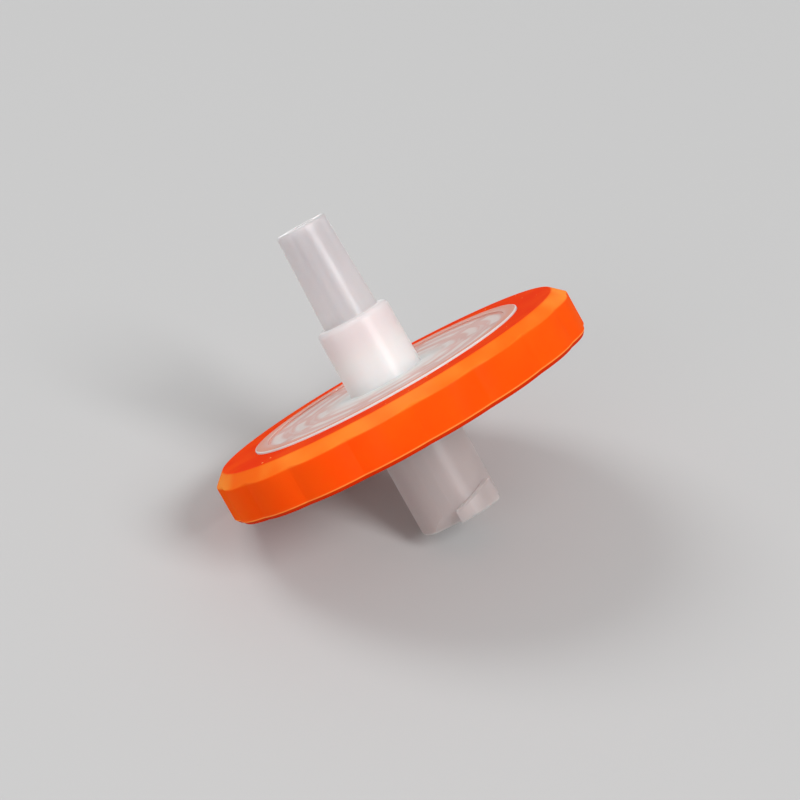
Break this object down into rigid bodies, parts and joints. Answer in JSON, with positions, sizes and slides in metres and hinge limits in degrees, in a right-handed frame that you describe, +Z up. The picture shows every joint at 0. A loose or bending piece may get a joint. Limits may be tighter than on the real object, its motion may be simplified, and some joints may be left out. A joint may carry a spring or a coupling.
{
  "type": "syringe filter",
  "caption": "Disc filter for a syringe: clear housing halves on a membrane, a Luer lock inlet, a Luer slip outlet and a lobed overmoulded grip ring.",
  "frame": {"origin": "on the resting surface, under the middle of the filter's box", "axes": "+Z up from the surface that the filter rests on; the outlet tip leans up towards -X, and +Y runs across the ring"},
  "size_m": [0.0258, 0.03, 0.0234],
  "materials": {
    "polypropylene_natural": "translucent natural polypropylene, moulded gloss",
    "membrane_white": "matt white microporous membrane",
    "overmould_orange": "saturated orange polypropylene, moulded gloss"
  },
  "bodies": {
    "root": {"outlet_housing": "polypropylene_natural", "inlet_housing": "polypropylene_natural", "membrane": "membrane_white", "overmould_ring": "overmould_orange"}
  },
  "joints": []
}
